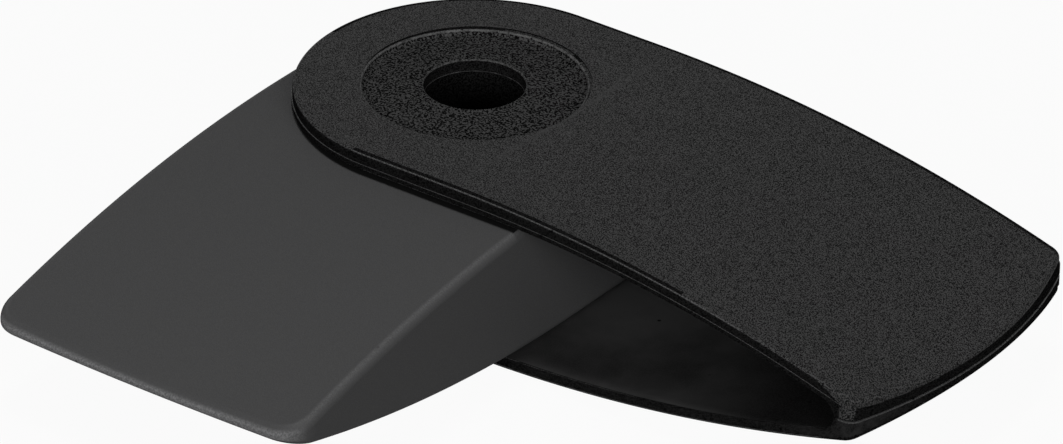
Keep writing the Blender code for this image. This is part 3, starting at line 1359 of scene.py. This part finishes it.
@dataclass
class RubberWedge:
    """The rubber: a slab bored to turn on the hub, that thins in a long curve to a soft edge."""

    sizes: FrameSizes
    flat: float = 5.0 * MM
    tip_thickness: float = 0.74 * MM
    tip_radius: float = 190.0 * MM
    corner: float = 2.3 * MM
    edge: float = 0.65 * MM
    edge_steps: int = 12
    # The painted highlight along the rim: its focus and share on the sides, and where at the nose it takes
    # over.
    highlight_focus: float = 5.0
    side_highlight: float = 0.32
    nose_turn: tuple[float, float] = (0.4, 0.75)
    nose_reach: tuple[float, float] = (1.9 * MM, 0.6 * MM)
    nose_share: float = 0.9
    # Faces whose normal rises more than this take the rubber with the painted shadow band.
    shadow_slope: float = 0.9
    bore: float = 6.3 * MM
    bore_edge: float = 0.3 * MM
    mouth_steps: int = 5
    swing: float = math.radians(-90)
    slices: int = 44
    turn_steps: int = 120
    over: float = 1.0 * MM
    face: Crown = field(init=False)

    def __post_init__(self) -> None:
        """Works out the curve of the upper face."""
        sizes = self.sizes
        self.face = Crown(sizes.rubber_half, self.flat, sizes.rubber_reach, self.tip_thickness / 2)

    def moulded(self, x: float, level: float) -> float:
        """Moulds a point of the level blank, its edge kept round at the thin tip.

        Args:
            x: The point's distance along the length.
            level: Its height in the blank.

        Returns:
            Its moulded height.
        """
        top = self.face.height(x)
        depth = self.face.level - abs(level)
        return math.copysign(top - depth * min(1.0, self.nose_share * top / self.edge), level)

    def painted_light_share(self, point: Vector) -> float:
        """Works out each point's share of the painted highlight along the rounded rim: thin on the sides,
        broad at the nose.

        Args:
            point: A point of the mesh.

        Returns:
            Its share, from 0 to 1.
        """
        if math.hypot(point.x, point.y) < self.bore + self.bore_edge + NEAR:
            return 0.0
        top = self.face.height(point.x)
        round_off = self.edge * min(1.0, self.nose_share * top / self.edge)
        turn = math.acos(min(max(1 - (top - point.z) / round_off, 0.0), 1.0)) / QUARTER
        side = self.side_highlight * math.sin(math.pi * math.sqrt(turn)) ** self.highlight_focus
        nose = ramp(turn, *self.nose_turn) if point.z > -top / 2 else 0.0
        start, end = self.nose_reach
        return side + (nose - side) * ramp(point.x - self.sizes.rubber_reach, -start, -end)

    def build(self) -> bpy.types.Object:
        """Builds the wedge: a level slab with a round rim, moulded, then bored.

        Returns:
            The finished mesh.
        """
        half = self.sizes.rubber_half
        outline = Outline(self.sizes.rubber_width, self.sizes.rubber_reach, self.tip_radius, self.corner)
        wedge = Bench.ring("rubber_wedge", outline.places(-half), filled=True)
        with Bench.edit(wedge):
            Bench.raise_plan(2 * half)
            Bench.face_outward()
            Bench.pick(wedge, Pick.EDGES, lambda e: abs(e.verts[0].co.z - e.verts[1].co.z) < NEAR)
            Bench.bevel(self.edge, self.edge_steps)
        Bench.slice_across(wedge, self.face.places(self.slices))
        Bench.mould(wedge, self.moulded)
        top = half + self.over
        mouth_centre = (self.bore + self.bore_edge, half - self.bore_edge)
        mouth = arc(mouth_centre, self.bore_edge, QUARTER, math.pi, self.mouth_steps)
        upper = [(0.0, top), (self.bore + self.bore_edge, top), *mouth]
        profile = upper + [(radius, -height) for radius, height in reversed(upper)]
        Bench.shape(wedge, Bench.turned("bore_cut", profile, self.turn_steps), Cut.AWAY)
        return wedge

    def dress(self, wedge: bpy.types.Object) -> None:
        """Gives the wedge its rubber, the flats a copy with the painted shadow of the plate's edge, and
        writes the painted highlight along the rim.

        Args:
            wedge: The finished mesh.
        """
        wedge.data.materials.clear()
        shadowed = replace(SHADOWED_RUBBER, painted_shadow_centre=tuple(self.sizes.pivot))
        for finish in (DARK_RUBBER, shadowed):
            wedge.data.materials.append(finish.make())
        for face in wedge.data.polygons:
            face.material_index = int(abs(face.normal.z) > self.shadow_slope)
        Bench.write_painted_light(wedge, self.painted_light_share)

    def fit(self) -> bpy.types.Object:
        """Builds and dresses the wedge and places it in the frame.

        Returns:
            The piece.
        """
        wedge = self.build()
        self.dress(wedge)
        Bench.place(wedge, Matrix.Translation(self.sizes.pivot) @ Matrix.Rotation(self.swing, 4, "Z"))
        Bench.smooth(wedge)
        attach(wedge, "rubber")
        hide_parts("eraser")
        return wedge


@dataclass(frozen=True)
class SoftBox:
    """A large soft lamp aimed at the object."""

    name: str
    place: Place
    width: float
    depth: float
    power: float

    def make(self, aim: Vector) -> bpy.types.Object:
        """Hangs the lamp at its place and turns it.

        Args:
            aim: The point that it faces.

        Returns:
            The lamp.
        """
        bpy.ops.object.select_all(action="DESELECT")
        bpy.ops.object.light_add(type="AREA", location=self.place)
        lamp = bpy.context.object
        lamp.name = self.name
        lamp.data.shape = "RECTANGLE"
        lamp.data.size = self.width
        lamp.data.size_y = self.depth
        lamp.data.energy = self.power
        lamp.rotation_euler = (aim - Vector(self.place)).to_track_quat("-Z", "Y").to_euler()
        lamp.visible_camera = False
        return lamp


@dataclass
class Studio:
    """The plain pale floor, the soft lamps, the pale surroundings and the camera."""

    sizes: FrameSizes
    floor_size: float = 4.0
    floor_gap: float = 0.02 * MM
    floor_colour: Colour = (0.25, 0.25, 0.25, 1.0)
    floor_glow: float = 0.95
    fill: float = 0.15
    azimuth: float = math.radians(35.976)
    elevation: float = math.radians(29.832)
    roll: float = math.radians(0.842)
    distance: float = 553.8 * MM
    aim_right: float = 4.0005 * MM
    aim_up: float = -3.8811 * MM
    sensor: float = 36.0
    lens: float = 273.9
    nearest: float = 0.01
    farthest: float = 20.0
    lamps: tuple[SoftBox, ...] = (
        SoftBox("overhead_softbox", place=(-0.05, -0.015, 0.9), width=0.2, depth=0.12, power=4.1),
        SoftBox("key_softbox", place=(0.8, -0.53, 0.33), width=0.5, depth=0.4, power=6.5),
        SoftBox("front_softbox", place=(0.1, -0.93, 0.36), width=0.5, depth=0.3, power=5.0),
    )

    @staticmethod
    def seen_white(sheet: NodeSheet) -> bpy.types.NodeSocket:
        """Adds a switch for what the camera sees, straight, in a reflection or through glass.

        Args:
            sheet: The sheet of the floor or the surroundings.

        Returns:
            1 for what is seen, and otherwise 0.
        """
        path = sheet.add("ShaderNodeLightPath")
        seen = sheet.math("MAXIMUM", path.outputs["Is Camera Ray"], path.outputs["Is Glossy Ray"])
        return sheet.math("MAXIMUM", seen, path.outputs["Is Transmission Ray"])

    def lay_floor(self) -> bpy.types.Object:
        """Lays the floor, white to the camera and still able to take a shadow.

        Returns:
            The floor.
        """
        bpy.ops.object.select_all(action="DESELECT")
        bpy.ops.mesh.primitive_plane_add(size=self.floor_size, location=(0, 0, -self.floor_gap))
        floor = bpy.context.object
        floor.name = "floor"
        material = bpy.data.materials.new("pale_floor")
        material.use_nodes = True
        sheet = NodeSheet(material.node_tree)
        shade = sheet.add("ShaderNodeBsdfDiffuse", Color=self.floor_colour)
        glow = sheet.add("ShaderNodeEmission", Color=WHITE, Strength=1.0)
        mixed = sheet.add("ShaderNodeMixShader")
        share = sheet.math("MULTIPLY", self.seen_white(sheet), self.floor_glow)
        for socket, value in zip(mixed.inputs, (share, shade.outputs[0], glow.outputs[0])):
            sheet.feed(socket, value)
        sheet.add("ShaderNodeOutputMaterial", Surface=mixed.outputs[0])
        floor.data.materials.append(material)
        return floor

    def hang_sky(self) -> None:
        """Makes the surroundings white to the camera and an even fill for everything else."""
        world = bpy.data.worlds.new("studio")
        bpy.context.scene.world = world
        world.use_nodes = True
        sheet = NodeSheet(world.node_tree)
        strength = sheet.add("ShaderNodeMapRange", To_Min=self.fill, To_Max=1.0)
        sheet.feed(strength.inputs[0], self.seen_white(sheet))
        back = sheet.add("ShaderNodeBackground", Color=WHITE, Strength=strength.outputs[0])
        sheet.add("ShaderNodeOutputWorld", Surface=back.outputs[0])

    def set_camera(self) -> bpy.types.Object:
        """Sets the camera at the photograph's viewing angle.

        Returns:
            The camera.
        """
        right = Vector((math.cos(self.azimuth), math.sin(self.azimuth), 0.0))
        away = Vector((-right.y, right.x, 0.0))
        forward = away * math.cos(self.elevation) - Vector((0, 0, math.sin(self.elevation)))
        up = away * math.sin(self.elevation) + Vector((0, 0, math.cos(self.elevation)))
        eye = self.sizes.pivot + right * self.aim_right + up * self.aim_up - forward * self.distance
        level, tilt = math.cos(self.roll), math.sin(self.roll)
        axes = (right * level + up * tilt, up * level - right * tilt, -forward)
        bpy.ops.object.select_all(action="DESELECT")
        bpy.ops.object.camera_add()
        camera = bpy.context.object
        camera.matrix_world = Matrix.Translation(eye) @ Matrix(axes).transposed().to_4x4()
        camera.data.sensor_fit = "HORIZONTAL"
        camera.data.sensor_width = self.sensor
        camera.data.lens = self.lens
        camera.data.clip_start = self.nearest
        camera.data.clip_end = self.farthest
        bpy.context.scene.camera = camera
        return camera

    def set_up(self) -> None:
        """Sets up floor, surroundings, lamps, camera and colour view."""
        self.lay_floor()
        self.hang_sky()
        for lamp in self.lamps:
            lamp.make(self.sizes.pivot)
        self.set_camera()
        bpy.context.scene.view_settings.view_transform = "Standard"


def report(piece: bpy.types.Object) -> None:
    """Logs a finished piece with its size in triangles."""
    piece.data.calc_loop_triangles()
    LOG.info("%s: %d triangles", piece.name, len(piece.data.loop_triangles))


def main() -> None:
    """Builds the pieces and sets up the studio."""
    logging.basicConfig(level=logging.INFO, format="%(message)s")
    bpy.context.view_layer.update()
    sizes = FrameSizes.measured()
    for half in Half:
        report(SleeveHalf(half, sizes).fit())
    report(RubberWedge(sizes).fit())
    Studio(sizes).set_up()


if __name__ == "__main__":
    main()
